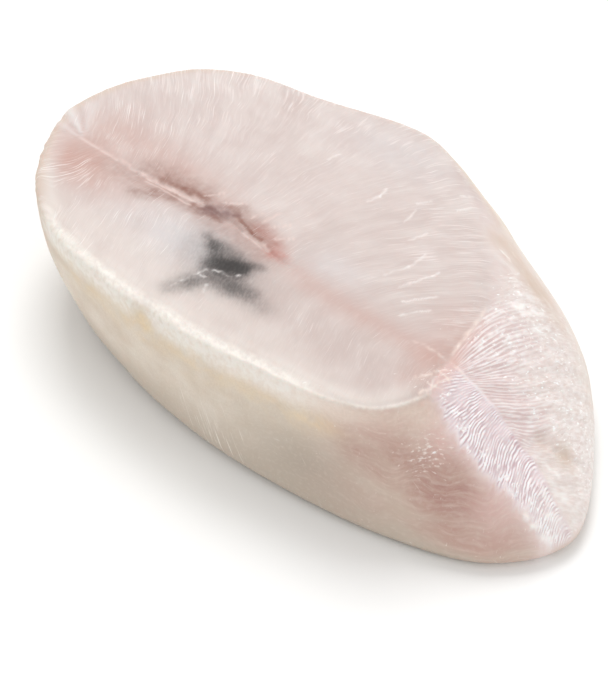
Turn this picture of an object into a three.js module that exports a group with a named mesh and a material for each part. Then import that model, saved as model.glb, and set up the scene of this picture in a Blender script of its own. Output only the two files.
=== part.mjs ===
// A skinless portion of hake loin: a thick slice with a flat oval cut face on top, a flat underside,
// a smooth rounded wall and, at one end, a ridged slope that runs down from the cut face to a blunt tip.
// Millimetres, +Z up. +X points along the piece to the tip, and -Y is the side of the smooth front wall.
// The piece is shaped about the middle of its cut face and then moved over the origin.
import * as THREE from 'three';
import { mergeVertices } from 'three/addons/utils/BufferGeometryUtils.js';

const { clamp, degToRad, lerp, seededRandom, smoothstep } = THREE.MathUtils;

// Heights of the four rings that shape the side of the piece, and the rounding at its foot.
const FACE_HEIGHT = 24;
const SHOULDER_HEIGHT = 16;
const BELLY_HEIGHT = 7;
const SOLE_HEIGHT = 0;
const HEEL_ROUND = 3.6;

// The side of the piece, as profiles at bearings counted from +X about the middle of the cut face.
// Each gives how far the rings reach, and edge, the size of the rounding where the face meets the side.
const SIDES = [
  { bearing: 12, rim: 33.8, shoulder: 45.4, belly: 56.2, sole: 53.8, edge: 4.5 },
  { bearing: 28, rim: 32.6, shoulder: 45.6, belly: 51, sole: 46.6, edge: 5 },
  { bearing: 45, rim: 31.9, shoulder: 40.5, belly: 42.5, sole: 38, edge: 5 },
  { bearing: 60, rim: 31.9, shoulder: 37.5, belly: 37.5, sole: 33.5, edge: 4 },
  { bearing: 90, rim: 34.1, shoulder: 35.4, belly: 35.4, sole: 32.5, edge: 2 },
  { bearing: 120, rim: 34.8, shoulder: 35.8, belly: 35.4, sole: 32, edge: 1.5 },
  { bearing: 150, rim: 46, shoulder: 46.4, belly: 44.6, sole: 39.8, edge: 1.5 },
  { bearing: 180, rim: 50.2, shoulder: 50.2, belly: 47, sole: 41, edge: 1.8 },
  { bearing: 210, rim: 42.1, shoulder: 42.3, belly: 39, sole: 34.8, edge: 1.5 },
  { bearing: 240, rim: 30.9, shoulder: 31.1, belly: 30, sole: 27.7, edge: 1.2 },
  { bearing: 270, rim: 27, shoulder: 27.5, belly: 27.3, sole: 26.4, edge: 1.2 },
  { bearing: 300, rim: 29.3, shoulder: 29.8, belly: 30.6, sole: 30.6, edge: 1.2 },
  { bearing: 330, rim: 39.3, shoulder: 40.8, belly: 44.4, sole: 45.2, edge: 1.2 },
  { bearing: 344, rim: 38.5, shoulder: 46.3, belly: 56.6, sole: 56.9, edge: 2 },
  { bearing: 356, rim: 35.6, shoulder: 47.4, belly: 61.2, sole: 61.4, edge: 3 },
];

// Relief in the flesh. The seam is the groove along the line of gristle in the left half of the cut face.
const SEAM = { y: -5.4, from: -46, to: 3, fade: 5, width: 1.5, depth: 0.45 };
const CREASE = { from: new THREE.Vector2(35.4, -5), to: new THREE.Vector2(30, 13), width: 1.8, depth: 0.5 };
const DENT = { at: new THREE.Vector3(50.6, -1, 13), width: 4, depth: 0.9 };
const NICK = { at: new THREE.Vector3(-4.5, -27.5, 22.6), width: 2.6, depth: 0.7 };
const FOLDS = { fromX: 36, fromY: -13, fade: 3, spacing: 3.1, sweep: 0.3, wander: 7, depth: 0.2 };
const SWELL = { seed: 11, waves: 7, shortest: 9, longest: 26, depth: 0.045 };

// How finely the surface is divided: steps between two profiles, and rings along each profile.
const SLOPE_STEPS = 8;
const WALL_STEPS = 7;
const FIRST_SLOPE_BEARING = 330;
const LAST_SLOPE_BEARING = 60;
const RINGS = { face: 14, rim: 4, wall: 28, heel: 3, sole: 2 };

// A closed curve through one ring of the profiles.
function ringCurve(reachName, height) {
  const points = SIDES.map((side) => {
    const angle = degToRad(side.bearing);
    const reach = side[reachName];
    return new THREE.Vector3(reach * Math.cos(angle), reach * Math.sin(angle), height);
  });
  return new THREE.CatmullRomCurve3(points, true, 'centripetal');
}

const rimCurve = ringCurve('rim', FACE_HEIGHT);
const shoulderCurve = ringCurve('shoulder', SHOULDER_HEIGHT);
const bellyCurve = ringCurve('belly', BELLY_HEIGHT);
const soleCurve = ringCurve('sole', SOLE_HEIGHT);

// The places round the piece where a profile is worked out, as a share of the way round the rings.
function placesAround() {
  const places = [];
  SIDES.forEach((side, index) => {
    const onSlope = side.bearing >= FIRST_SLOPE_BEARING || side.bearing < LAST_SLOPE_BEARING;
    const steps = onSlope ? SLOPE_STEPS : WALL_STEPS;
    for (let step = 0; step < steps; step++) {
      places.push((index + step / steps) / SIDES.length);
    }
  });
  return places;
}

// The rounding of the rim at a place between two profiles.
function edgeAt(place) {
  const along = place * SIDES.length;
  const before = Math.floor(along);
  const after = (before + 1) % SIDES.length;
  return lerp(SIDES[before].edge, SIDES[after].edge, along - before);
}

// One profile as a run of points: out over the cut face, round its rim, down the side,
// round the heel and back in under the piece.
function profileAt(place) {
  const faceMiddle = new THREE.Vector3(0, 0, FACE_HEIGHT);
  const soleMiddle = new THREE.Vector3(0, 0, SOLE_HEIGHT);
  const rim = rimCurve.getPoint(place);
  const shoulder = shoulderCurve.getPoint(place);
  const belly = bellyCurve.getPoint(place);
  const sole = soleCurve.getPoint(place);
  const side = new THREE.CubicBezierCurve3(rim, shoulder, belly, sole);
  const edge = edgeAt(place);
  const wallFrom = edge / side.getLength();
  const wallTo = 1 - HEEL_ROUND / side.getLength();

  const faceEnd = rim.clone().lerp(faceMiddle, edge / rim.distanceTo(faceMiddle));
  const soleStart = sole.clone().lerp(soleMiddle, HEEL_ROUND / sole.distanceTo(soleMiddle));
  const rimArc = new THREE.QuadraticBezierCurve3(faceEnd, rim, side.getPointAt(wallFrom));
  const heelArc = new THREE.QuadraticBezierCurve3(side.getPointAt(wallTo), sole, soleStart);

  const points = [];
  const run = (count, pointAt) => {
    for (let ring = 0; ring < count; ring++) {
      points.push(pointAt(ring / count));
    }
  };
  run(RINGS.face, (share) => faceMiddle.clone().lerp(faceEnd, share));
  run(RINGS.rim, (share) => rimArc.getPoint(share));
  run(RINGS.wall, (share) => side.getPointAt(lerp(wallFrom, wallTo, share)));
  run(RINGS.heel, (share) => heelArc.getPoint(share));
  run(RINGS.sole, (share) => soleStart.clone().lerp(soleMiddle, share));
  points.push(soleMiddle);
  return points;
}

// Soft unevenness of the flesh: a few long waves in drawn directions.
function swellWaves() {
  seededRandom(SWELL.seed);
  return Array.from({ length: SWELL.waves }, () => {
    const length = lerp(SWELL.shortest, SWELL.longest, seededRandom());
    const direction = new THREE.Vector3(seededRandom() - 0.5, seededRandom() - 0.5, seededRandom() - 0.5);
    const phase = seededRandom() * 2 * Math.PI;
    return { pull: direction.setLength((2 * Math.PI) / length), phase };
  });
}

const waves = swellWaves();

// A bell that is one at the middle and dies out over the width.
function bell(distance, width) {
  return Math.exp(-((distance / width) ** 2));
}

function seamDepth(point) {
  const fadeIn = smoothstep(point.x, SEAM.from, SEAM.from + SEAM.fade);
  const fadeOut = 1 - smoothstep(point.x, SEAM.to - SEAM.fade, SEAM.to + SEAM.fade);
  return SEAM.depth * bell(point.y - SEAM.y, SEAM.width) * fadeIn * fadeOut;
}

// The crease where the cut face ends and the ridged slope begins.
function creaseDepth(point) {
  const along = CREASE.to.clone().sub(CREASE.from);
  const offset = new THREE.Vector2(point.x, point.y).sub(CREASE.from);
  const share = clamp(offset.dot(along) / along.lengthSq(), 0, 1);
  const distance = offset.distanceTo(along.multiplyScalar(share));
  return CREASE.depth * bell(distance, CREASE.width) * (1 - share);
}

function swellHeight(point) {
  const heights = waves.map((wave) => Math.sin(wave.pull.dot(point) + wave.phase));
  return SWELL.depth * heights.reduce((sum, height) => sum + height, 0);
}

// Uneven folds across the slope, swept back a little on both sides of the seam.
function foldHeight(point) {
  const across = Math.abs(point.y - SEAM.y);
  const along = point.x - FOLDS.sweep * across + FOLDS.wander * swellHeight(point);
  const onSlope = smoothstep(along, FOLDS.fromX - FOLDS.fade, FOLDS.fromX + FOLDS.fade);
  const behindFront = smoothstep(point.y, FOLDS.fromY - FOLDS.fade, FOLDS.fromY + FOLDS.fade);
  return FOLDS.depth * Math.sin((2 * Math.PI * along) / FOLDS.spacing) * onSlope * behindFront;
}

function pitDepth(pit, point) {
  return pit.depth * bell(pit.at.distanceTo(point), pit.width);
}

// How far the surface stands out along its normal at a point. The foot and the underside stay plain.
function reliefAt(point) {
  const hollows = seamDepth(point) + creaseDepth(point) + pitDepth(DENT, point) + pitDepth(NICK, point);
  const share = smoothstep(point.z, HEEL_ROUND, 3 * HEEL_ROUND);
  return share * (foldHeight(point) + swellHeight(point) - hollows);
}

// The skin of the piece: a sphere's net of points, moved onto the profiles and then given its relief.
function loinGeometry() {
  const profiles = placesAround().map(profileAt);
  const around = profiles.length;
  const along = Object.values(RINGS).reduce((sum, count) => sum + count, 0);
  const net = new THREE.SphereGeometry(1, around, along);
  for (let ring = 0; ring <= along; ring++) {
    for (let step = 0; step <= around; step++) {
      const point = profiles[step % around][ring];
      net.attributes.position.setXYZ(ring * (around + 1) + step, point.x, point.y, point.z);
    }
  }
  net.deleteAttribute('normal');
  net.deleteAttribute('uv');
  const skin = mergeVertices(net);
  skin.computeVertexNormals();

  const { position, normal } = skin.attributes;
  const point = new THREE.Vector3();
  const outward = new THREE.Vector3();
  for (let index = 0; index < position.count; index++) {
    point.fromBufferAttribute(position, index);
    outward.fromBufferAttribute(normal, index);
    point.addScaledVector(outward, reliefAt(point));
    position.setXYZ(index, point.x, point.y, point.z);
  }

  skin.computeBoundingBox();
  const { min, max } = skin.boundingBox;
  skin.translate(-(min.x + max.x) / 2, -(min.y + max.y) / 2, 0);
  skin.computeVertexNormals();
  return skin;
}

const fleshMaterial = new THREE.MeshStandardMaterial({ color: '#e8dcd6', roughness: 0.35, metalness: 0 });

const hakePortion = new THREE.Group();
const loin = new THREE.Mesh(loinGeometry(), fleshMaterial);
loin.name = 'hake_loin';
hakePortion.add(loin);

export default hakePortion;
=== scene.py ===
import math

import bpy
import numpy as np
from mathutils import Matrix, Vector, noise


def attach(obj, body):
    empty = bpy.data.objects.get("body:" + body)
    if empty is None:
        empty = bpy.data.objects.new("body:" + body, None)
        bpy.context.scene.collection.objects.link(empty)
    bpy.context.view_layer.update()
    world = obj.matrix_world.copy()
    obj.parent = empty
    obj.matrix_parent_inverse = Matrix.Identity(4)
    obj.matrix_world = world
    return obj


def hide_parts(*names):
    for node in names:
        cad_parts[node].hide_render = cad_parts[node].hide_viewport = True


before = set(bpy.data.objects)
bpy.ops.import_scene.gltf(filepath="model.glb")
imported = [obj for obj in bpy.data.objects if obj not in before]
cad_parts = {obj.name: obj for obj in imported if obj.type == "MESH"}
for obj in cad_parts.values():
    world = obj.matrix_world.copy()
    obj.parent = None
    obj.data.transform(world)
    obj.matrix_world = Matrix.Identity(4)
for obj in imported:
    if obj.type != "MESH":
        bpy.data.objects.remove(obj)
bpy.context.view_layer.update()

# The flesh: one skinless cut of raw hake loin, pale muscle in fine fibres, parted by a seam of gristle.
# A knife made the flat top and the underside. The wall is the smooth layer that lay under the skin,
# and the end slope is bare muscle, ridged to both sides of a spine that carries on the seam.
MM = 0.001
NET_SIZE = 0.5
MERGE_SIZE = 0.001

flesh = bpy.data.objects.new("hake_flesh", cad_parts["hake_loin"].data.copy())
bpy.context.scene.collection.objects.link(flesh)
bpy.ops.object.select_all(action="DESELECT")
flesh.select_set(True)
bpy.context.view_layer.objects.active = flesh

bpy.ops.object.mode_set(mode="EDIT")
bpy.ops.mesh.select_all(action="SELECT")
bpy.ops.mesh.remove_doubles(threshold=MERGE_SIZE * MM)
bpy.ops.object.mode_set(mode="OBJECT")

even_net = flesh.modifiers.new("even net", "REMESH")
even_net.mode = "VOXEL"
even_net.voxel_size = NET_SIZE * MM
bpy.ops.object.modifier_apply(modifier=even_net.name)
soften = flesh.modifiers.new("soften", "SMOOTH")
soften.factor = 0.5
soften.iterations = 5
bpy.ops.object.modifier_apply(modifier=soften.name)


def read(items, name):
    """A property of the mesh's points or faces, as rows of three numbers."""
    values = np.empty(len(items) * 3, np.float32)
    items.foreach_get(name, values)
    return values.reshape(-1, 3).astype(float)


def step(value, low, high):
    """A smooth ramp from 0 at low to 1 at high."""
    share = np.clip((value - low) / (high - low), 0, 1)
    return share * share * (3 - 2 * share)


def bell(distance, width):
    """1 at no distance, dying out over the width."""
    return np.exp(-((distance / width) ** 2))


def seam_y(x):
    """The seam across the cut face, as Y for each X."""
    return -9.4 + 1.5 * bell(x + 17, 11) - 0.5 * bell(x - 12, 9)


def spine_y(x):
    """The line that carries the seam on down the slope."""
    return -8.6 + 0.9 * bell(x - 38.5, 4) + 1.3 * bell(x - 45.5, 3.5)


def crease_x(y):
    """The edge of the cut face where the slope begins, as X for each Y."""
    return 30.3 - 0.19 * (y + 9) - 0.035 * np.maximum(y - 1, 0) ** 2


def crest_y(x):
    """The edge between the slope and the front wall, as Y for each X."""
    return -14.2 - 0.5 * bell(x - 38, 3) + 2.2 * step(x, 41, 53)


def slope_share(at):
    """1 on the end slope, 0 elsewhere. Its edge is sharp along the crease and soft elsewhere."""
    x, y, z = at.T
    soft = 0.6 + 5 * step(y, 2, 12)
    past_crease = step((x - crease_x(y)) / soft, -0.5, 1.0)
    behind_crest = step(y - crest_y(x), -2.4, -0.2)
    before_back = 1 - step(y + 0.55 * np.maximum(x - 30, 0), 15, 27)
    return past_crease * behind_crest * before_back * step(z, 1, 4)


def face_share(at, out):
    """1 on the cut face, 0 elsewhere."""
    return step(out[:, 2], 0.6, 0.9) * step(at[:, 2], 20.5, 23) * (1 - slope_share(at))


def near_line(start, end, width, plan):
    """A bell about a straight line in plan."""
    start, end = np.array(start, float), np.array(end, float)
    run = end - start
    share = np.clip(((plan - start) @ run) / (run @ run), 0, 1)
    return bell(np.linalg.norm(plan - start - share[:, None] * run, axis=1), width)


# Bundles of fibres that stand up from the right and the back of the cut face, as lines in plan.
RAISED_STROKES = (
    ((-1.3, 10.0), (-0.7, 12.5)),
    ((-0.7, 12.5), (-1.0, 14.4)),
    ((6.3, 10.3), (5.9, 13.6)),
    ((5.1, 14.8), (6.2, 16.8)),
    ((11.8, -1.0), (13.6, 2.8)),
    ((13.6, 2.8), (13.6, 6.4)),
    ((15.4, -1.8), (17.4, 3.5)),
    ((17.4, 3.5), (17.7, 5.0)),
    ((17.8, -4.1), (20.9, 0.4)),
    ((19.3, -6.4), (22.0, -2.5)),
    ((-13.2, 13.8), (-12.6, 16.1)),
    ((9.6, 7.6), (10.8, 10.3)),
    ((8.8, 21.1), (10.3, 22.9)),
    ((10.7, 18.0), (12.5, 20.8)),
)


def finer_face(at, out):
    """The seam, the stain, the raised strokes and the rounding along the front rim."""
    x, y, z = at.T
    chosen = (np.abs(y - seam_y(x)) < 2.8) & (np.abs(x + 18) < 17)
    chosen |= (np.abs(x + 5) < 8.5) & (np.abs(y + 18) < 7)
    chosen |= (np.abs(x - 15) < 19) & (y < -14) & (out[:, 2] < 0.985)
    for start, end in RAISED_STROKES:
        chosen |= near_line(start, end, 1.0, at[:, :2]) > 0.4
    return chosen


def select_faces(where):
    """Goes into edit mode with those faces selected whose middle and normal pass the test."""
    bpy.ops.object.mode_set(mode="EDIT")
    bpy.ops.mesh.select_mode(type="FACE")
    bpy.ops.mesh.select_all(action="DESELECT")
    bpy.ops.object.mode_set(mode="OBJECT")
    faces = flesh.data.polygons
    faces.foreach_set("select", where(read(faces, "center") / MM, read(faces, "normal")))
    bpy.ops.object.mode_set(mode="EDIT")


# The underside lies flat on the floor and the wall is plain, so they need no fine net. The slope needs
# a much finer one, finest in front of the spine, and so do those parts of the face that have fine relief.
WALL_RATIO = 0.26
select_faces(lambda at, out: (at[:, 2] < 0.3) & (out[:, 2] < -0.97))
bpy.ops.transform.resize(value=(1, 1, 0), center_override=(0, 0, 0))
bpy.ops.mesh.dissolve_limited(angle_limit=math.radians(2))
bpy.ops.object.mode_set(mode="OBJECT")
select_faces(lambda at, out: (np.abs(at[:, 2] - 9) < 8) & (slope_share(at) < 0.02))
bpy.ops.mesh.decimate(ratio=WALL_RATIO)
bpy.ops.object.mode_set(mode="OBJECT")
for where, cuts in (
    (lambda at, out: (slope_share(at) > 0.2) & (at[:, 1] < spine_y(at[:, 0])), 3),
    (lambda at, out: (slope_share(at) > 0.2) & (at[:, 1] > spine_y(at[:, 0])) & (at[:, 1] < 12), 1),
    (lambda at, out: (face_share(at, out) > 0.1) & (slope_share(at) < 0.08) & finer_face(at, out), 1),
):
    select_faces(where)
    bpy.ops.mesh.subdivide(number_cuts=cuts, smoothness=0)
    bpy.ops.object.mode_set(mode="OBJECT")

at = read(flesh.data.vertices, "co") / MM
out = read(flesh.data.vertices, "normal")
x, y, z = at.T
plan = at[:, :2]
on_face = face_share(at, out)
on_slope = slope_share(at)
on_wall = np.clip(1 - on_face - on_slope, 0, 1)
off_face = np.clip(1 - on_face / np.maximum(1 - on_slope, 0.05), 0, 1)
SEED_SHIFT = 17.3


def mottle(*axes, seed=0):
    """Soft noise between about -1 and 1. Each axis is a coordinate divided by the size of the patches."""
    points = np.zeros((len(axes[0]), 3))
    for index, axis in enumerate(axes):
        points[:, index] = axis
    return np.array([noise.noise(Vector(point)) for point in points + SEED_SHIFT * seed])


def near_point(point, size):
    """A bell about a point, with a width for each axis."""
    return np.exp(-(((at - np.array(point)) / np.array(size)) ** 2).sum(1))


def frays(seed):
    """Coarse and fine waves that fray an edge."""
    return mottle(x / 1.2, y / 1.2, seed=seed) + 0.5 * mottle(x / 0.45, y / 0.45, seed=seed)


frayed_plan = plan + 0.3 * np.stack([frays(21), frays(22)], 1)


def pooled(lines):
    """Soft, frayed lines in plan laid over each other. Each has a start, an end, a width and a force."""
    return sum(force * near_line(start, end, width, frayed_plan) for start, end, width, force in lines)


# How far each point lies inside the rim of the cut face.
MIDDLE_X, MIDDLE_Y = -5.2, -3.7
SECTORS = 180
bearing = np.arctan2(y - MIDDLE_Y, x - MIDDLE_X)
from_middle = np.hypot(x - MIDDLE_X, y - MIDDLE_Y)
sector = ((bearing / (2 * np.pi) + 0.5) * SECTORS).astype(int) % SECTORS
rim_reach = np.zeros(SECTORS)
np.maximum.at(rim_reach, sector[on_face > 0.4], from_middle[on_face > 0.4])
sector_middles = ((np.arange(SECTORS) + 0.5) / SECTORS - 0.5) * 2 * np.pi
from_rim = np.interp(bearing, sector_middles, rim_reach, period=2 * np.pi) - from_middle

# The fibres of the cut face fan out from the seam on both sides.
FAN_MIDDLE = -15


def fibres(x, y):
    """A place on the cut face counted across the fibres and along them, and how far they have spread."""
    along = y - seam_y(x)
    behind, before = np.maximum(along, 0), np.maximum(-along, 0)
    spread = 1 + behind / 80 + 0.00095 * behind ** 2
    turned = 0.36 * np.maximum(before - 4, 0) * step(x, -46, -34) - 0.5 * before * step(-x, 36, 48)
    across = np.where(along > 0, FAN_MIDDLE + (x - FAN_MIDDLE) / spread, x - turned)
    return across, along, spread


across, along, spread = fibres(x, y)


def ridge_x(foot, y):
    """Where a ridge of the slope that leaves the spine at a given X runs, as X for each Y.

    In front of the spine the ridges are straight. Behind it they fan out: the first turn back beside
    the crease, the middle ones sweep forward, and the last fall steeply.
    """
    gone = y - spine_y(foot)
    round_off = np.hypot(gone, 0.9)
    behind, before = (gone + round_off) / 2, (gone - round_off) / 2
    first = 0.0145 * behind ** 2 - 0.28 * behind
    middle = 6 * (1 - np.exp(-behind / 8))
    last = 4 * (1 - np.exp(-behind / 4))
    fan = first + (middle - first) * step(foot, 30.8, 34.8)
    fan = fan + (last - fan) * step(foot, 36, 43)
    return foot + fan + (0.36 - 0.74 * step(foot, 31, 43)) * before


def ridge_foot(x, y):
    """The foot of the ridge through a point, found by halving."""
    low, high = np.full(len(x), 10.0), np.full(len(x), 75.0)
    for _ in range(24):
        middle = (low + high) / 2
        short = ridge_x(middle, y) < x
        low, high = np.where(short, middle, low), np.where(short, high, middle)
    return (low + high) / 2


# Places across the ridges, stretched so that the ridges of one part of the slope are about equally wide.
NUDGE = 0.05
MARK_STEP = 0.5
foot = ridge_foot(x, y)
from_spine = y - spine_y(foot)
rise_x = (ridge_foot(x + NUDGE, y) - foot) / NUDGE
rise_y = (ridge_foot(x, y + NUDGE) - foot) / NUDGE
rise_out = rise_x * out[:, 0] + rise_y * out[:, 1]
crowding = np.sqrt(np.maximum(rise_x ** 2 + rise_y ** 2 - rise_out ** 2, 0.01))


def evened(part):
    """The feet of the ridges, counted in the ridges' own width in a part of the slope."""
    marks = np.arange(24, 62, MARK_STEP)
    cells = np.digitize(foot, marks)
    widths = []
    for cell in range(1, len(marks)):
        here = crowding[part & (cells == cell)]
        widths.append(MARK_STEP / here.mean() if len(here) else MARK_STEP)
    return np.interp(foot, marks, np.concatenate([[0], np.cumsum(widths)]))


front_place = evened((on_slope > 0.5) & (from_spine < 0))
back_place = evened((on_slope > 0.5) & (from_spine > 0))

# How far the ridges stray from their lines, more so towards the tip.
disorder = 0.5 + 0.5 * step(foot, 33, 38)
small_waves = mottle(x / 0.8, y / 0.8, z / 0.8, seed=1)
broad_waves = mottle(foot / 2.2, from_spine / 2.4, seed=2)
wander = disorder * (0.22 * small_waves + 1.1 * broad_waves)


def ridge_waves(place, spacing):
    """Ridges that wander and break off here and there: 1 on their crests, 0 in the hollows."""
    cycles = place / spacing
    breaks = np.clip(0.82 + 1.5 * mottle(1.1 * cycles, from_spine / 1.3, seed=3), 0.2, 1)
    return breaks * (1 - (0.5 - 0.5 * np.cos(2 * np.pi * (cycles + wander))) ** 1.4)


# The ridges are fine and sharp in front of the spine. Behind it they are wider, and far from it they
# break up into grains. A thin pale rope lies along the upper part of the spine.
FRONT_SPACING = 0.47
BACK_SPACING = 0.9
in_front = 1 - step(from_spine, -0.3, 0.6)
ragged_crest = step(y - crest_y(x) + 3.0 * mottle(front_place / 0.8, seed=16), -1.2, -0.2)
fan = (1 - step(foot, 32, 34.5)) * (1 - step(from_spine, 12, 20))
back_force = np.clip(0.4 + 0.3 * fan, 0, 1) * (1 - 0.6 * step(from_spine, 8, 18))
granular = np.clip(step(from_spine, 4, 11) - 0.6 * fan, 0, 1) + (1 - in_front) * step(x, 42, 47)
back_share = np.clip(0.75 + 0.25 * fan - 0.65 * granular, 0, 1)
rope = bell(y - spine_y(x), 0.3) * step(x, 31, 33) * (1 - step(x, 36, 42))
clumps = np.clip(0.88 + 1.0 * mottle(x / 2.2, y / 2.2, z / 2.2, seed=9), 0.45, 1)
from_junction = 1 - near_line((30.4, -8.4), (32.2, -14.6), 1.7, plan)
ridge_share = on_slope * ragged_crest * clumps * (1 - 0.7 * rope) * from_junction
front_ridges = ridge_share * in_front * ridge_waves(front_place, FRONT_SPACING)
back_ridges = ridge_share * (1 - in_front) * back_force * ridge_waves(back_place, BACK_SPACING)
ridges = front_ridges + back_ridges - 0.6 * ridge_share * (in_front + back_force * (1 - in_front))
lumps = on_slope * step(from_spine, 5, 14) * mottle(x / 1.1, y / 1.1, z / 1.1, seed=4)

# Loose pale strands over the upper part of the slope, and white clumps about its tip.
strands = pooled((
    ((30.5, 4.1), (31.2, 11.5), 0.35, 0.7),
    ((31.2, 11.5), (33.0, 15.4), 0.4, 0.9),
    ((32.4, 2.9), (33.7, 12.0), 0.3, 0.6),
    ((29.4, 9.0), (29.8, 10.2), 0.8, 0.9),
    ((28.5, 11.5), (30.4, 15.8), 0.4, 0.7),
    ((30.4, 15.8), (35.3, 16.5), 0.4, 0.7),
    ((28.6, 2.4), (29.0, 6.4), 0.4, 0.6),
    ((31.4, -2.4), (30.6, 2.6), 0.25, 0.5),
    ((36.2, 8.4), (38.3, 11.0), 0.5, 0.5),
    ((40.7, 6.5), (42.5, 6.9), 0.6, 0.5),
    ((49.8, -13.6), (51.8, -12.9), 0.5, 0.8),
    ((51.8, -10.4), (52.8, -9.4), 0.6, 0.8),
    ((48.6, -9.0), (51.2, -9.4), 0.4, 0.6),
    ((53.0, -12.8), (53.6, -11.8), 0.5, 0.7),
    ((50.6, -7.2), (53.2, -6.4), 0.5, 0.5),
    ((47.4, -5.8), (49.6, -5.2), 0.4, 0.5),
))
strands = off_face * strands * np.clip(0.6 + 1.3 * mottle(x / 1.1, y / 1.1, z / 1.1, seed=25), 0, 1)

# A fold low on the slope, with a raised lip behind it.
fold = pooled((((44.3, -3.6), (47.2, -2.4), 0.7, 1), ((47.2, -2.4), (49.3, 0), 0.7, 1)))
fold_lip = pooled((((43.2, -2.0), (46.2, -0.6), 0.8, 1), ((46.2, -0.6), (47.8, 2.2), 0.9, 0.7)))

# Grain: long low ridges along the fibres, strongest on the right of the face.
right_part = step(x, 4, 16) * step(along, 2, 8)
far_rim = step(along, 14, 20) * (1 - step(from_rim, 5, 9))
grain = on_face * (0.1 + 0.9 * right_part) * mottle(across * spread / 0.8, along / 9, seed=5)

STROKE_WIDTH = 0.22
raised = pooled([(*ends, STROKE_WIDTH, 0.8) for ends in RAISED_STROKES])
raised = on_face * raised * np.clip(0.8 + 0.9 * mottle(x / 1.6, y / 1.6, seed=26), 0, 1)

# The seam: a fine groove with low puckers along the left half of the face.
seam_run = step(x, -47, -40) * (1 - step(x, -4, 4))
seam_wave = 0.3 * mottle(x / 3, seed=7)
pucker = np.clip(0.5 + 1.0 * mottle(x / 1.6, along / 1.0, seed=6), 0, 1)
seam_lips = on_face * seam_run * pucker * (bell(along - 1.0, 0.7) + bell(along + 1.0, 0.7))
seam_groove = on_face * seam_run * bell(along + seam_wave, 0.4)

# The lip where the cut left the outer layer standing along the front rim.
lip_run = step(x, -2, 10) * (1 - step(x, 31.5, 33)) * (1 - step(y, -15, -12))
rim_lip = lip_run * bell(from_rim - 0.2, 0.24) * step(z, 22, 23)
rim_frays = (1 - step(y, -12, -4)) * bell(from_rim - 0.3, 1.2) * step(z, 21, 22.5) * (1 - lip_run)
rim_frays = rim_frays * (mottle(x / 0.9, y / 0.9, z / 0.9, seed=17) + 0.6 * mottle(x / 2.5, y / 2.5, seed=20))

# The tuft of gristle at the left end, where the seam begins.
TUFT_FOLDS = 14
tuft_x, tuft_y = x + 46.3, y + 9.3
tuft_turn = np.arctan2(tuft_y, -tuft_x)
tuft_reach = np.hypot(tuft_x, tuft_y)
tuft = step(z, 20, 22.5) * bell(tuft_turn - 0.45, 0.55)
tuft = tuft * step(tuft_reach, 0.5, 2) * (1 - step(tuft_reach, 9, 12))
tuft_folds = tuft * np.cos(TUFT_FOLDS * tuft_turn + 2 * mottle(x / 2, y / 2, seed=9))

# The wall is smooth but not even.
WALL_RADIUS = 42
round_wall = WALL_RADIUS * np.arctan2(x - MIDDLE_X, MIDDLE_Y - y)
off_floor = step(z, 1.5, 4)
swells = on_wall * mottle(x / 6, y / 6, z / 6, seed=10)

relief = 0.1 * ridges + 0.12 * strands + 0.06 * on_slope * rope + 0.07 * lumps - 0.28 * on_slope * fold
relief = relief + 0.16 * on_slope * fold_lip + 0.05 * grain + 0.08 * raised
relief = relief + 0.1 * seam_lips - 0.2 * seam_groove
relief = relief + 0.12 * rim_lip + 0.18 * rim_frays + 0.14 * tuft_folds + 0.14 * swells
relief = off_floor * relief


def stand_out(name, heights):
    """Moves the surface out along its normals by the heights, or in where they are below zero."""
    most = np.abs(heights).max()
    for side, sign in (("raised", 1), ("sunk", -1)):
        weights = np.clip(sign * heights / most, 0, 1)
        group = flesh.vertex_groups.new(name=f"{name} {side}")
        for index in np.nonzero(weights > 0.004)[0]:
            group.add([int(index)], float(weights[index]), "REPLACE")
        push = flesh.modifiers.new(group.name, "DISPLACE")
        push.vertex_group = group.name
        push.mid_level = 0
        push.strength = sign * most * MM
        bpy.ops.object.modifier_apply(modifier=push.name)


stand_out("relief", relief)
bpy.ops.object.shade_smooth()

# Each dye is stored as a share of the deepest one.
MOST_DYE = 6

# The dark stain left by the lining of the belly: a core with smoky arms, and a few pale threads in it.
stain = 0.3 * near_point((-7, -16.5, 24), (8, 6, 9)) + 0.6 * near_point((-7.8, -15.8, 24), (4.2, 3, 9))
stain = stain + 0.3 * near_point((-14, -14.5, 24), (4.5, 4.5, 9)) + pooled((
    ((-14.6, -12.8), (-12.2, -13.8), 0.8, 0.9),
    ((-12.2, -13.8), (-9.8, -15.4), 1.3, 1.5),
    ((-10.6, -12.9), (-8.0, -13.0), 1.1, 0.7),
    ((-9.6, -16.8), (-7.2, -15.2), 1.7, 2.0),
    ((-7.4, -16.2), (-5.4, -15.4), 1.5, 3.4),
    ((-6.8, -14.6), (-5.4, -14.0), 1.1, 1.6),
    ((-4.6, -13.2), (-3.6, -12.7), 1.0, 0.9),
    ((-8.4, -19.2), (-9.2, -22.0), 1.9, 0.9),
    ((-9.2, -22.0), (-10.8, -25.4), 1.6, 0.6),
    ((-6.2, -19.0), (-3.6, -18.8), 1.8, 1.2),
    ((-3.6, -18.8), (-0.8, -18.4), 1.8, 0.9),
    ((-0.8, -18.4), (3.0, -19.2), 1.8, 0.4),
))
stain_threads = pooled((
    ((-10.8, -24.6), (-10.2, -21.2), 0.22, 0.7),
    ((-10.2, -21.2), (-9.5, -18.2), 0.24, 0.8),
    ((-8.5, -17.9), (-7.0, -17.5), 0.26, 0.8),
    ((-9.3, -20.1), (-8.1, -19.7), 0.22, 0.6),
    ((-7.0, -21.1), (-6.2, -22.5), 0.26, 0.8),
    ((-4.9, -16.4), (-4.6, -16.0), 0.26, 0.8),
    ((-6.6, -17.6), (-5.2, -17.2), 0.2, 0.4),
))
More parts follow.
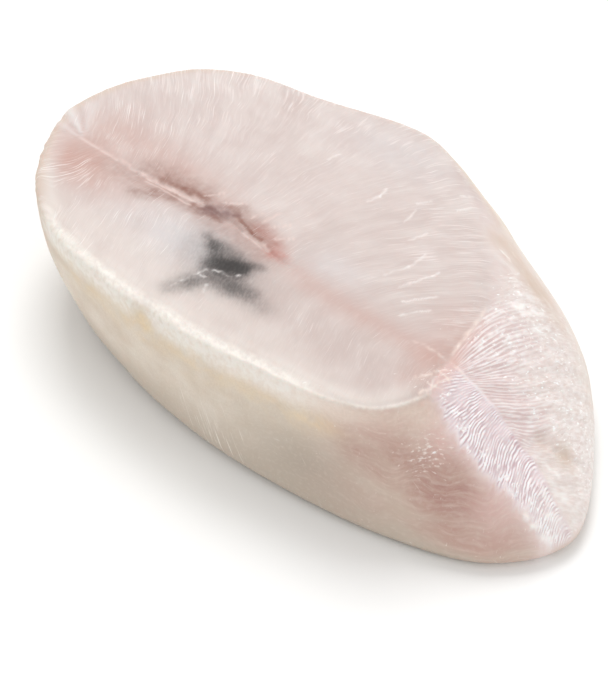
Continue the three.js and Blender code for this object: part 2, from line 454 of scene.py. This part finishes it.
stain_threads = stain_threads * np.clip(0.4 + 1.3 * mottle(x / 0.7, y / 0.7, seed=8), 0, 1)

# The blood line along the seam: soft brown bands, darker threads in them, a purple spot and a red end.
blood = pooled((
    ((-33.0, -7.0), (-22.0, -5.2), 2.2, 0.55),
    ((-38.0, -11.0), (-30.0, -10.5), 2.6, 0.35),
    ((-29.0, -7.4), (-21.0, -6.3), 1.1, 0.7),
    ((-30.1, -7.8), (-25.2, -7.3), 0.5, 0.8),
    ((-25.2, -7.3), (-21.0, -6.5), 0.55, 1.6),
    ((-31.0, -13.0), (-28.1, -12.2), 1.1, 0.6),
    ((-28.1, -10.7), (-25.2, -9.5), 1.1, 0.9),
    ((-25.2, -10.0), (-20.3, -9.6), 1.3, 0.6),
    ((-21.4, -8.9), (-18.3, -8.4), 1.0, 1.2),
    ((-17.2, -8.8), (-16.4, -8.6), 0.7, 1.3),
    ((-20.5, -7.2), (-14.7, -4.4), 1.0, 0.6),
    ((-14.6, -6.4), (-12.5, -7.0), 0.3, 1.6),
    ((-12.5, -7.0), (-10.1, -7.5), 0.28, 2.0),
    ((-10.1, -7.5), (-7.8, -7.7), 0.26, 1.6),
    ((-13.0, -6.6), (-6.0, -7.5), 0.8, 0.6),
    ((-16.6, -5.6), (-14.4, -6.0), 0.6, 0.8),
    ((-14.4, -5.7), (-9.5, -5.9), 1.5, 0.5),
    ((-9.5, -6.1), (-5.5, -6.9), 1.2, 0.6),
    ((-17.0, -10.0), (-6.0, -10.6), 2.6, 0.35),
))
purple = pooled((((-19.6, -8.3), (-16.3, -7.0), 1.0, 1.3), ((-16.3, -7.0), (-14.6, -6.4), 0.7, 0.8)))
red_end = pooled((((-4.8, -8.7), (-2.9, -8.4), 1.1, 1.1), ((-9.5, -6.0), (-5.0, -7.0), 1.3, 0.45)))
pale_thread = pooled((
    ((-47.0, -9.3), (-33.0, -8.9), 0.28, 0.7),
    ((-33.0, -8.9), (-26.8, -8.5), 0.32, 0.9),
    ((-26.8, -8.5), (-20.5, -7.8), 0.32, 0.9),
    ((-31.5, -9.8), (-22.0, -9.2), 0.22, 0.6),
    ((-11.2, -8.3), (-5.7, -8.6), 0.35, 0.7),
    ((-21.6, -6.3), (-19.9, -3.8), 0.22, 0.6),
    ((-18.4, -5.6), (-15.1, -3.3), 0.22, 0.6),
    ((-12.3, -5.2), (-11.9, -3.3), 0.22, 0.6),
    ((-10.5, -4.8), (-9.7, -1.4), 0.22, 0.6),
    ((-8.8, -5.2), (-6.8, -2.2), 0.22, 0.6),
    ((-6.2, -6.4), (-4.5, -4.3), 0.22, 0.6),
))

# Broad tints of the face.
blush = near_point((-42, -14, 24), (9, 5, 9)) + 0.5 * near_point((-38, -4, 24), (8, 5, 9))
blush = blush + 0.35 * near_point((-46, -6, 24), (5, 8, 9))
blush = blush + 0.55 * bell(along - 0.3, 3.8) * step(x, -36, -28) * (1 - step(x, -6, 0))
blush = blush + 0.55 * bell(along + 0.5, 2.4) * step(x, -4, 2) * (1 - step(x, 26, 32))
blush = blush + 0.35 * near_point((26.5, -1.5, 24), (4, 5, 9))
blush = blush + 0.6 * near_line((30, -14), (30, -4), 4, plan)
blush = blush + 0.4 * near_point((-27, -3.5, 24), (7, 3, 9))
greyish = near_point((-17, -17, 24), (10, 6, 9)) + 0.6 * near_point((5, -5, 24), (6, 3.5, 9))
greyish = greyish + 0.6 * near_point((-5, 23, 24), (11, 5, 9))
dusky = step(x, -14, 2) * (0.46 - 0.16 * step(along, -1, 4)) * (1 - 0.6 * step(along, 6, 14))
front_side = 1 - step(y, -20, -10)
creamy = 0.6 * step(-along, 8, 15) * (1 - step(x, 18, 28))
creamy = creamy + front_side * (1 - step(from_rim, 0.5, 5)) * (1 - step(x, 28, 34))

# Broad tints of the wall. Towards the tip it turns rosy above a slanting edge, and pale beside the slope.
to_tip = step(x, 16, 30) * (1 - step(y, -6, 4))
rosy_edge = 17 - 0.8 * (x - 26) + 3 * mottle(x / 4, y / 4, z / 4, seed=27)
rosy = off_face * to_tip * (0.4 * step(z, 0, 6) + 0.6 * step(z - rosy_edge, -6, 4))
deep_rose = near_point((41.5, -19.5, 12.0), (5, 5, 4.5))
deep_rose = deep_rose + 0.45 * near_line((27, -25), (38, -20), 4, plan) * bell(z - 16, 4)
pink_gloss = near_point((46.5, -16, 9.5), (4, 4, 4.5)) + near_point((36.6, -17.2, 18.6), (3.2, 3.2, 3.4))
sheen = 0.7 * bell(y - crest_y(x) + 1.2, 1.3) * step(x, 31, 35)
under_lip = on_wall * bell(z - 22.2, 2.3 + step(x, 20, 28)) * step(x, 0, 10)
under_lip = under_lip * (1 - 0.45 * step(x, 22, 31)) * (1 - step(y, -17, -13))
granules = on_wall * near_point((36, -20, 16.5), (3.5, 4, 4.5))
grey = on_wall * near_point((20, -28, 9), (12, 6, 7))
yellow = 0.6 * bell(z - 19, 3) * step(x, -34, -26) * (1 - step(x, 20, 30)) * front_side
yellow = yellow + 0.9 * near_point((-11.5, -30.8, 20.8), (2.5, 4, 2.0))
yellow = yellow + 0.3 * near_point((-30, -29.2, 20.2), (4, 4, 2))
yellow = yellow + 0.5 * near_point((22, -27, 18.3), (4, 4, 1.8))
scratched = on_wall * near_point((2, -30, 6), (7, 5, 5))
tan_edge = 0.8 * near_line((20, 18.5), (28, 17.0), 2.6, plan) * step(z, 12, 16)
tan_edge = tan_edge + 0.55 * near_line((28, 16.8), (34, 15.8), 2.4, plan) * step(z, 12, 16)
tan_edge = tan_edge + 0.3 * bell(from_rim, 1.0) * step(y, 16, 22) * step(z, 21, 22)
tan_edge = tan_edge + 0.75 * step(-x, 34, 47) * (1 - step(from_rim, 0.5, 2.5)) * step(z, 6, 18)
# Painted shade, tan, in the fold low on the slope.
fold_shade = near_point((48.2, -1.8, 9.8), (2.2, 2, 2)) + 0.7 * near_point((44.6, -3.6, 12.3), (1.5, 1.2, 2))
pale_tip = near_point((52, -9.5, 5.5), (5, 6, 6))
rim = (1 - step(from_rim, 0.2, 2.8)) * step(z, 18.2, 22.8)
rim = rim * (1 - 0.9 * near_point((-11.6, -30.8, 21), (2, 3, 3)))
rim = rim * (1 - on_slope) * step(x, -44, -34) * (1 - step(x, 14, 26)) * (1 - 0.8 * step(y, -8, 6))

# Thin threads about the place where the seam meets the slope.
junction = pooled((
    ((24.5, -9.0), (29.3, -8.9), 0.2, 0.8),
    ((29.8, -8.6), (33.8, -8.6), 0.22, 0.8),
    ((29.3, -15.0), (30.4, -12.8), 0.22, 0.7),
    ((30.6, -12.0), (31.3, -10.2), 0.22, 0.7),
    ((31.6, -16.6), (32.2, -13.4), 0.25, 0.8),
    ((32.0, -13.0), (32.6, -10.8), 0.22, 0.7),
    ((31.0, -14.4), (33.2, -13.4), 0.2, 0.6),
    ((31.2, -11.4), (33.4, -11.6), 0.2, 0.6),
))
crease_line = bell(x - crease_x(y) + 0.1, 0.25) * step(y, -8, -6) * (1 - step(y, 2, 5)) * step(z, 21, 22)
junction = np.maximum(junction, crease_line) * np.clip(0.7 + 0.8 * mottle(x / 1.5, y / 1.5, seed=15), 0, 1)

crease_rose = 0.7 * bell(x - crease_x(y) - 0.3, 1.3) * step(y, -13, -9.5) * (1 - step(y, -2, 5))
crease_rose = crease_rose + 0.9 * near_line((30.8, -8.8), (32.2, -14.4), 1.5, plan)

# Where small wet glints lie thick: along the crest, low on the slope and about the junction.
glints = on_slope * (0.8 * bell(y - crest_y(x) - 0.8, 1.8) * step(x, 31, 34) + 0.55 * step(from_spine, 2, 8))
glints = glints + 0.5 * near_line((29.5, -15), (32, -9), 1.8, plan) * step(z, 20, 22)

# How thick the fine pale fibres and the painted glints along fibres lie, and how much the fibres show at all.
bunches = 0.5 * mottle(x / 5, y / 5, seed=19)
lower_left = step(-along, 1, 6) * (1 - step(x, -20, -6)) * step(from_rim, 0, 2)
faint = 0.35 + 0.3 * step(-x, 26, 40) + 0.3 * right_part + 0.4 * far_rim + bunches - 0.4 * bell(along, 3)
fibre_glints = 0.3 * lower_left + 0.1 * far_rim + 0.2 * right_part + 0.3 * step(-x, 34, 42) + bunches
fibrous = on_face * (0.4 + 0.3 * step(along, 0, 6) + 0.3 * np.maximum(right_part, far_rim))


def keep(name, values):
    """Stores a value for each point of the flesh, for its material."""
    single = values.ndim == 1
    layer = flesh.data.attributes.new(name, "FLOAT" if single else "FLOAT_VECTOR", "POINT")
    layer.data.foreach_set("value" if single else "vector", values.astype(np.float32).ravel())


# Runs: places counted across and along the fibres, the ridges and the wall, for noise drawn out along them.
# On the rosy part of the wall the streaks hang in a bowl.
BOWL_MIDDLE = 48
keep("fibre run", np.stack([across + 0.4 * mottle(x / 4, y / 4, seed=24), along, z], 1))
keep("front run", np.stack([front_place, from_spine, z], 1))
keep("back run", np.stack([back_place, from_spine, z], 1))
keep("scratch run", np.stack([round_wall + 0.5 * z, z, 0 * z], 1))
keep("wall run", np.stack([x, z + 1.5 * mottle(x / 9, y / 9, z / 6, seed=13), y / 4.5], 1))
bowl = 0.013 * (round_wall - BOWL_MIDDLE) ** 2 * bell(round_wall - BOWL_MIDDLE, 16)
flow_z = z - bowl + 1.6 * mottle(x / 5, y / 5, z / 4, seed=23)
keep("flow run", np.stack([round_wall, flow_z, 0 * z], 1))

# Masks: how much of a finish, or of painted light and shade, shows at each point.
for name, values in {
    "slope": on_slope * step(y - crest_y(x) + 2.0 * mottle(front_place / 0.8, seed=16), -2.2, -0.6),
    "wall": off_face,
    # Painted highlights along the ridge crests.
    "crests": step(front_ridges, 0.4, 0.95) + 0.5 * step(back_ridges, 0.2, 0.6),
    # Painted shade in the hollows between the front ridges.
    "hollows": ridge_share * in_front * step(0.5 - front_ridges, 0, 0.5),
    "back lines": on_slope * (1 - in_front) * from_junction * back_share,
    "granular": on_slope * granular,
    "front": on_slope * in_front,
    "strands": strands,
    "glints": glints,
    "rope": on_slope * rope,
    "crease rose": crease_rose * step(z, 20, 21),
    "fold shade": on_slope * fold_shade,
    "pale tip": pale_tip,
    "raised": raised,
    "stain": on_face * stain / MOST_DYE,
    "stain threads": on_face * stain_threads,
    "blood": on_face * blood / MOST_DYE,
    "red end": on_face * red_end / MOST_DYE,
    "purple": on_face * purple / MOST_DYE,
    "pale thread": on_face * pale_thread,
    "blush": blush,
    "greyish": greyish,
    "dusky": on_face * dusky,
    "creamy": creamy,
    "rosy": rosy,
    "deep rose": deep_rose,
    "sheen": sheen,
    "pink gloss": pink_gloss,
    "granules": granules,
    "scratched": scratched,
    "grey": grey,
    "yellow": on_wall * yellow,
    "tan edge": tan_edge,
    "rim": rim,
    "lip": rim_lip,
    "tuft": tuft * (0.55 + 0.45 * np.cos(TUFT_FOLDS * tuft_turn)),
    # Painted shade: the wall grows darker towards the floor.
    "low": on_wall * (1 - step(z, 3, 12)),
    # Painted shade along the foot of the wall, where it meets the floor.
    "contact shade": 0.55 * (1 - step(z, 0.4, 2.2)) * (1 - step(x, 40, 50)),
    "under lip": under_lip,
    "roughness": 0.52 + 0.2 * np.clip(rim + bell(from_rim, 2) * front_side, 0, 1) - 0.24 * on_slope,
    "junction": junction,
    "faint": on_face * faint * (1 - np.clip(stain, 0, 1)),
    "fibre_glints": on_face * fibre_glints * (1 - np.clip(stain, 0, 1)),
    "fibrous": fibrous,
}.items():
    keep(name, np.clip(values, 0, 1))


def srgb(red, green, blue):
    """A colour as seen on a screen, 0 to 255, as the linear colour that a shader takes."""
    shares = [value / 255 for value in (red, green, blue)]
    return [s / 12.92 if s <= 0.04045 else ((s + 0.055) / 1.055) ** 2.4 for s in shares] + [1]


meat = bpy.data.materials.new("raw hake flesh")
meat.use_nodes = True
nodes, links = meat.node_tree.nodes, meat.node_tree.links
shader = nodes["Principled BSDF"]


def stored(name, output="Fac"):
    """What is stored for each point under a name."""
    node = nodes.new("ShaderNodeAttribute")
    node.attribute_name = name
    return node.outputs[output]


def math_of(operation, first, second):
    """One sum with shares: each is a socket or a plain number."""
    node = nodes.new("ShaderNodeMath")
    node.operation = operation
    for socket, value in zip(node.inputs, (first, second)):
        if isinstance(value, (int, float)):
            socket.default_value = value
        else:
            links.new(value, socket)
    return node.outputs["Value"]


def ramp(value, low, high, least=0.0, most=1.0):
    """A share that goes from least at low to most at high."""
    node = nodes.new("ShaderNodeMapRange")
    for socket, number in zip(node.inputs[1:5], (low, high, least, most)):
        socket.default_value = number
    links.new(value, node.inputs["Value"])
    return node.outputs["Result"]


def tinted(under, over, share):
    """Lays a colour over another where the share says."""
    mix = nodes.new("ShaderNodeMix")
    mix.data_type = "RGBA"
    links.new(share, mix.inputs["Factor"])
    for socket, value in ((mix.inputs["A"], under), (mix.inputs["B"], over)):
        if isinstance(value, list):
            socket.default_value = value
        else:
            links.new(value, socket)
    return mix.outputs["Result"]


def stretched(run, across_size, along_size):
    """The places of a run, counted in patches of a size across it and along it."""
    node = nodes.new("ShaderNodeMapping")
    node.inputs["Scale"].default_value = (1 / across_size, 1 / along_size, 1)
    links.new(stored(run, "Vector"), node.inputs["Vector"])
    return node.outputs["Vector"]


def streaks(run, across_size, along_size):
    """Noise drawn out along a run."""
    node = nodes.new("ShaderNodeTexNoise")
    node.inputs["Scale"].default_value = 1
    node.inputs["Detail"].default_value = 3
    links.new(stretched(run, across_size, along_size), node.inputs["Vector"])
    return node.outputs["Fac"]


def strokes(run, across_size, along_size, density):
    """Fine strokes along a run, thicker where the density is high."""
    lift = ramp(stored(density), 0, 1, -0.16, 0.04)
    return ramp(math_of("ADD", streaks(run, across_size, along_size), lift), 0.54, 0.66)


def both(first, second):
    """The share of the one within the other."""
    return math_of("MULTIPLY", first, second)


def soaked(under, dye, depth, texture):
    """Soaks a colour with a dye, whose depth is stored under a name, unevenly and never wholly."""
    left = math_of("POWER", 0.5, math_of("MULTIPLY", both(stored(depth), texture), MOST_DYE))
    return tinted(under, dye, ramp(left, 1, 0))


soft_fibres = ramp(streaks("fibre run", 1.6, 12), 0.38, 0.66)
fine_fibres = ramp(streaks("fibre run", 0.4, 7), 0.52, 0.75, 0, 0.6)
face = tinted(srgb(203, 187, 182), srgb(213, 201, 196), both(soft_fibres, stored("fibrous")))
face = tinted(face, srgb(222, 211, 207), both(fine_fibres, stored("fibrous")))
face = tinted(face, srgb(188, 170, 163), stored("dusky"))
face = tinted(face, srgb(194, 158, 148), stored("blush"))
face = tinted(face, srgb(210, 203, 202), stored("greyish"))
face = tinted(face, srgb(218, 207, 200), stored("creamy"))
clouds = streaks("fibre run", 4.5, 7)
face = tinted(face, srgb(226, 217, 212), ramp(clouds, 0.5, 0.72, 0, 0.25))
face = tinted(face, srgb(186, 166, 160), ramp(clouds, 0.5, 0.28, 0, 0.25))
face = tinted(face, srgb(230, 221, 216), ramp(streaks("fibre run", 0.22, 2.5), 0.52, 0.7, 0, 0.16))
face = tinted(face, srgb(186, 166, 160), ramp(streaks("fibre run", 0.3, 3), 0.48, 0.3, 0, 0.1))
# The raised fibre bundles are painted paler: partly their own pale colour, partly a painted glint.
face = tinted(face, srgb(244, 238, 235), ramp(stored("raised"), 0, 1, 0, 0.7))

mottled = ramp(streaks("wall run", 5, 4), 0.33, 0.67)
grainy = ramp(streaks("flow run", 0.5, 0.4), 0.35, 0.65)
pale_grain = ramp(streaks("flow run", 0.8, 0.6), 0.5, 0.68, 0, 0.12)
flow = streaks("flow run", 5, 1.0)
film = streaks("flow run", 3, 0.6)
wall = tinted(srgb(218, 203, 186), srgb(230, 219, 205), mottled)
# Painted shade: darker low on the wall, towards the floor.
wall = tinted(wall, srgb(200, 187, 172), stored("low"))
wall = tinted(wall, srgb(184, 171, 157), stored("grey"))
yellow_patches = ramp(streaks("wall run", 3, 2.5), 0.36, 0.62, 0.2, 1)
wall = tinted(wall, srgb(233, 212, 180), both(stored("yellow"), yellow_patches))
rosy_patches = ramp(streaks("flow run", 6, 3), 0.3, 0.6, 0.4, 1)
wall = tinted(wall, srgb(194, 158, 146), both(stored("rosy"), rosy_patches))
wall = tinted(wall, srgb(176, 134, 124), both(stored("deep rose"), ramp(flow, 0.34, 0.6, 0.6, 1)))
wall = tinted(wall, srgb(214, 178, 171), stored("pink gloss"))
wall = tinted(wall, srgb(226, 200, 197), stored("sheen"))
wall = tinted(wall, srgb(226, 207, 196), both(stored("rosy"), ramp(film, 0.48, 0.72, 0, 0.35)))
wall = tinted(wall, srgb(240, 223, 211), ramp(stored("under lip"), 0, 1, 0, 0.8))
wall = tinted(wall, srgb(198, 180, 163), ramp(grainy, 0, 1, 0.2, 0))
wall = tinted(wall, srgb(238, 229, 219), pale_grain)
wall = tinted(wall, srgb(240, 232, 222), ramp(strokes("scratch run", 0.6, 7, "scratched"), 0, 1, 0, 0.8))
wall = tinted(wall, srgb(242, 231, 224), ramp(strokes("flow run", 0.7, 0.4, "granules"), 0, 1, 0, 0.7))
# Painted contact shade at the foot of the wall.
wall = tinted(wall, srgb(150, 137, 122), stored("contact shade"))

bands = nodes.new("ShaderNodeTexWave")
bands.inputs["Scale"].default_value = math.pi / 10
bands.inputs["Distortion"].default_value = 4
bands.inputs["Detail"].default_value = 2
bands.inputs["Detail Scale"].default_value = 1.2
links.new(stretched("back run", 0.6, 4), bands.inputs["Vector"])
back_noise = ramp(streaks("back run", 0.25, 8), 0.3, 0.7)
back_lines = ramp(math_of("ADD", ramp(bands.outputs["Fac"], 0, 1, 0, 0.7), back_noise), 0.45, 1.25)
grains = ramp(streaks("back run", 0.5, 1.6), 0.34, 0.66)
front_hairs = ramp(streaks("front run", 0.22, 2), 0.35, 0.65)
slope = tinted(srgb(222, 203, 199), srgb(233, 221, 217), ramp(streaks("back run", 2.0, 5), 0.38, 0.62))
grain_colour = tinted(srgb(217, 203, 196), srgb(238, 231, 227), grains)
slope = tinted(slope, grain_colour, ramp(stored("granular"), 0, 1, 0, 0.8))
# Painted shade in the fold low on the slope.
slope = tinted(slope, srgb(209, 190, 176), stored("fold shade"))
slope = tinted(slope, srgb(204, 178, 177), both(stored("back lines"), ramp(back_lines, 0, 1, 0.9, 0)))
slope = tinted(slope, srgb(246, 240, 240), both(stored("back lines"), ramp(back_lines, 0.5, 1, 0, 0.45)))
slope = tinted(slope, srgb(240, 230, 233), ramp(stored("front"), 0, 1, 0, 0.7))
# Painted shade in the hollows between the front ridges.
slope = tinted(slope, srgb(204, 177, 181), stored("hollows"))
slope = tinted(slope, srgb(244, 236, 236), ramp(stored("rope"), 0, 1, 0, 0.5))
# Painted highlights: the ridge crests turn near white.
slope = tinted(slope, srgb(255, 253, 254), both(stored("crests"), ramp(front_hairs, 0, 1, 0.6, 1)))
slope = tinted(slope, srgb(204, 160, 148), ramp(stored("crease rose"), 0, 1, 0, 0.65))

colour = tinted(face, wall, stored("wall"))
colour = tinted(colour, slope, stored("slope"))
colour = tinted(colour, srgb(242, 234, 228), ramp(stored("pale tip"), 0, 1, 0, 0.38))
colour = tinted(colour, srgb(253, 249, 246), ramp(stored("strands"), 0, 1, 0, 0.9))
colour = tinted(colour, srgb(255, 254, 252), ramp(strokes("back run", 0.45, 0.9, "glints"), 0, 1, 0, 0.85))
colour = tinted(colour, srgb(210, 189, 174), stored("tan edge"))
patchy = ramp(streaks("fibre run", 1.1, 1.1), 0.3, 0.7, 0.6, 1.4)
hairy = ramp(streaks("fibre run", 0.4, 0.8), 0.3, 0.7, 0.78, 1.22)
colour = soaked(colour, srgb(132, 86, 70), "blood", patchy)
colour = soaked(colour, srgb(122, 90, 88), "purple", patchy)
colour = soaked(colour, srgb(190, 122, 110), "red end", patchy)
colour = tinted(colour, srgb(228, 206, 199), ramp(stored("pale thread"), 0, 1, 0, 0.85))
colour = soaked(colour, srgb(22, 12, 6), "stain", hairy)
colour = tinted(colour, srgb(232, 226, 223), stored("stain threads"))
colour = tinted(colour, srgb(226, 220, 218), ramp(stored("tuft"), 0, 1, 0, 0.7))
fluff = ramp(streaks("fibre run", 0.8, 0.8), 0.3, 0.7, 0.55, 1.3)
colour = tinted(colour, srgb(246, 240, 232), ramp(both(stored("rim"), fluff), 0.1, 1.0, 0, 0.85))
colour = tinted(colour, srgb(244, 236, 228), both(stored("lip"), ramp(fluff, 0.4, 1.4, 0.3, 0.9)))
colour = tinted(colour, srgb(232, 222, 218), ramp(strokes("fibre run", 0.18, 4.5, "faint"), 0, 1, 0, 0.5))
# Pale fibres with painted glints along them.
colour = tinted(colour, srgb(252, 249, 246), ramp(strokes("fibre run", 0.15, 7, "fibre_glints"), 0, 1, 0, 0.6))
colour = tinted(colour, srgb(238, 222, 213), stored("junction"))
links.new(colour, shader.inputs["Base Color"])

ripple = nodes.new("ShaderNodeBump")
ripple.inputs["Strength"].default_value = 0.5
ripple.inputs["Distance"].default_value = 0.05 * MM
face_ripple = both(streaks("fibre run", 0.3, 3), stored("fibrous"))
slope_ripple = both(ramp(streaks("back run", 0.35, 9), 0, 1, 0, 3), stored("back lines"))
wall_ripple = both(streaks("flow run", 0.7, 0.4), stored("wall"))
links.new(math_of("ADD", math_of("ADD", face_ripple, slope_ripple), wall_ripple), ripple.inputs["Height"])
links.new(ripple.outputs["Normal"], shader.inputs["Normal"])
links.new(stored("roughness"), shader.inputs["Roughness"])
shader.inputs["Specular IOR Level"].default_value = 0.4
shader.inputs["Subsurface Weight"].default_value = 0.2
shader.inputs["Subsurface Radius"].default_value = (1.0, 0.5, 0.4)
shader.inputs["Subsurface Scale"].default_value = 0.4 * MM

flesh.data.materials.clear()
flesh.data.materials.append(meat)
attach(flesh, "root")
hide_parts("hake_loin")

# The floor: a plain white sheet under the piece,
# wide enough to run out of the picture on every side.
FLOOR_WIDTH = 3
bpy.ops.object.select_all(action="DESELECT")
bpy.ops.mesh.primitive_plane_add(size=FLOOR_WIDTH, location=(0, 0, 0))
floor = bpy.context.active_object
floor.name = "floor"
floor_paint = bpy.data.materials.new("white floor")
floor_paint.use_nodes = True
floor_shader = floor_paint.node_tree.nodes["Principled BSDF"]
floor_shader.inputs["Base Color"].default_value = (0.95, 0.95, 0.94, 1)
floor_shader.inputs["Roughness"].default_value = 0.8
floor.data.materials.append(floor_paint)

# The light: a bright, even surround, one soft light from above and behind the left end,
# and a weak one from the side of the tip.
LAMP_SIZE = 0.35

world = bpy.data.worlds.new("studio")
world.use_nodes = True
surround = world.node_tree.nodes["Background"]
surround.inputs["Color"].default_value = (1, 1, 1, 1)
surround.inputs["Strength"].default_value = 0.77
bpy.context.scene.world = world


def soft_light(name, place, power):
    """A square lamp that looks at the middle of the piece."""
    lamp = bpy.data.lights.new(name, "AREA")
    lamp.size = LAMP_SIZE
    lamp.energy = power
    holder = bpy.data.objects.new(name, lamp)
    bpy.context.scene.collection.objects.link(holder)
    holder.location = place
    holder.rotation_euler = (Vector((0, 0, 0.01)) - Vector(place)).to_track_quat("-Z", "Y").to_euler()


soft_light("overhead light", (-0.266, 0.266, 0.706), 2.8)
soft_light("side light", (0.655, 0, 0.459), 0.5)

# The camera: it looks down at 45 degrees over the front right of the piece,
# from about 30 cm.
AZIMUTH = math.radians(42)
ELEVATION = math.radians(45)
DISTANCE = 300 * MM
aim = Vector((2.85, -9.67, 10)) * MM
towards_camera = Vector((
    math.sin(AZIMUTH) * math.cos(ELEVATION),
    -math.cos(AZIMUTH) * math.cos(ELEVATION),
    math.sin(ELEVATION),
))
view = bpy.data.cameras.new("camera")
view.lens = 100
view.sensor_width = 36
camera = bpy.data.objects.new("camera", view)
bpy.context.scene.collection.objects.link(camera)
camera.location = aim + DISTANCE * towards_camera
camera.rotation_euler = (-towards_camera).to_track_quat("-Z", "Y").to_euler()
bpy.context.scene.camera = camera
bpy.context.scene.view_settings.view_transform = "Standard"
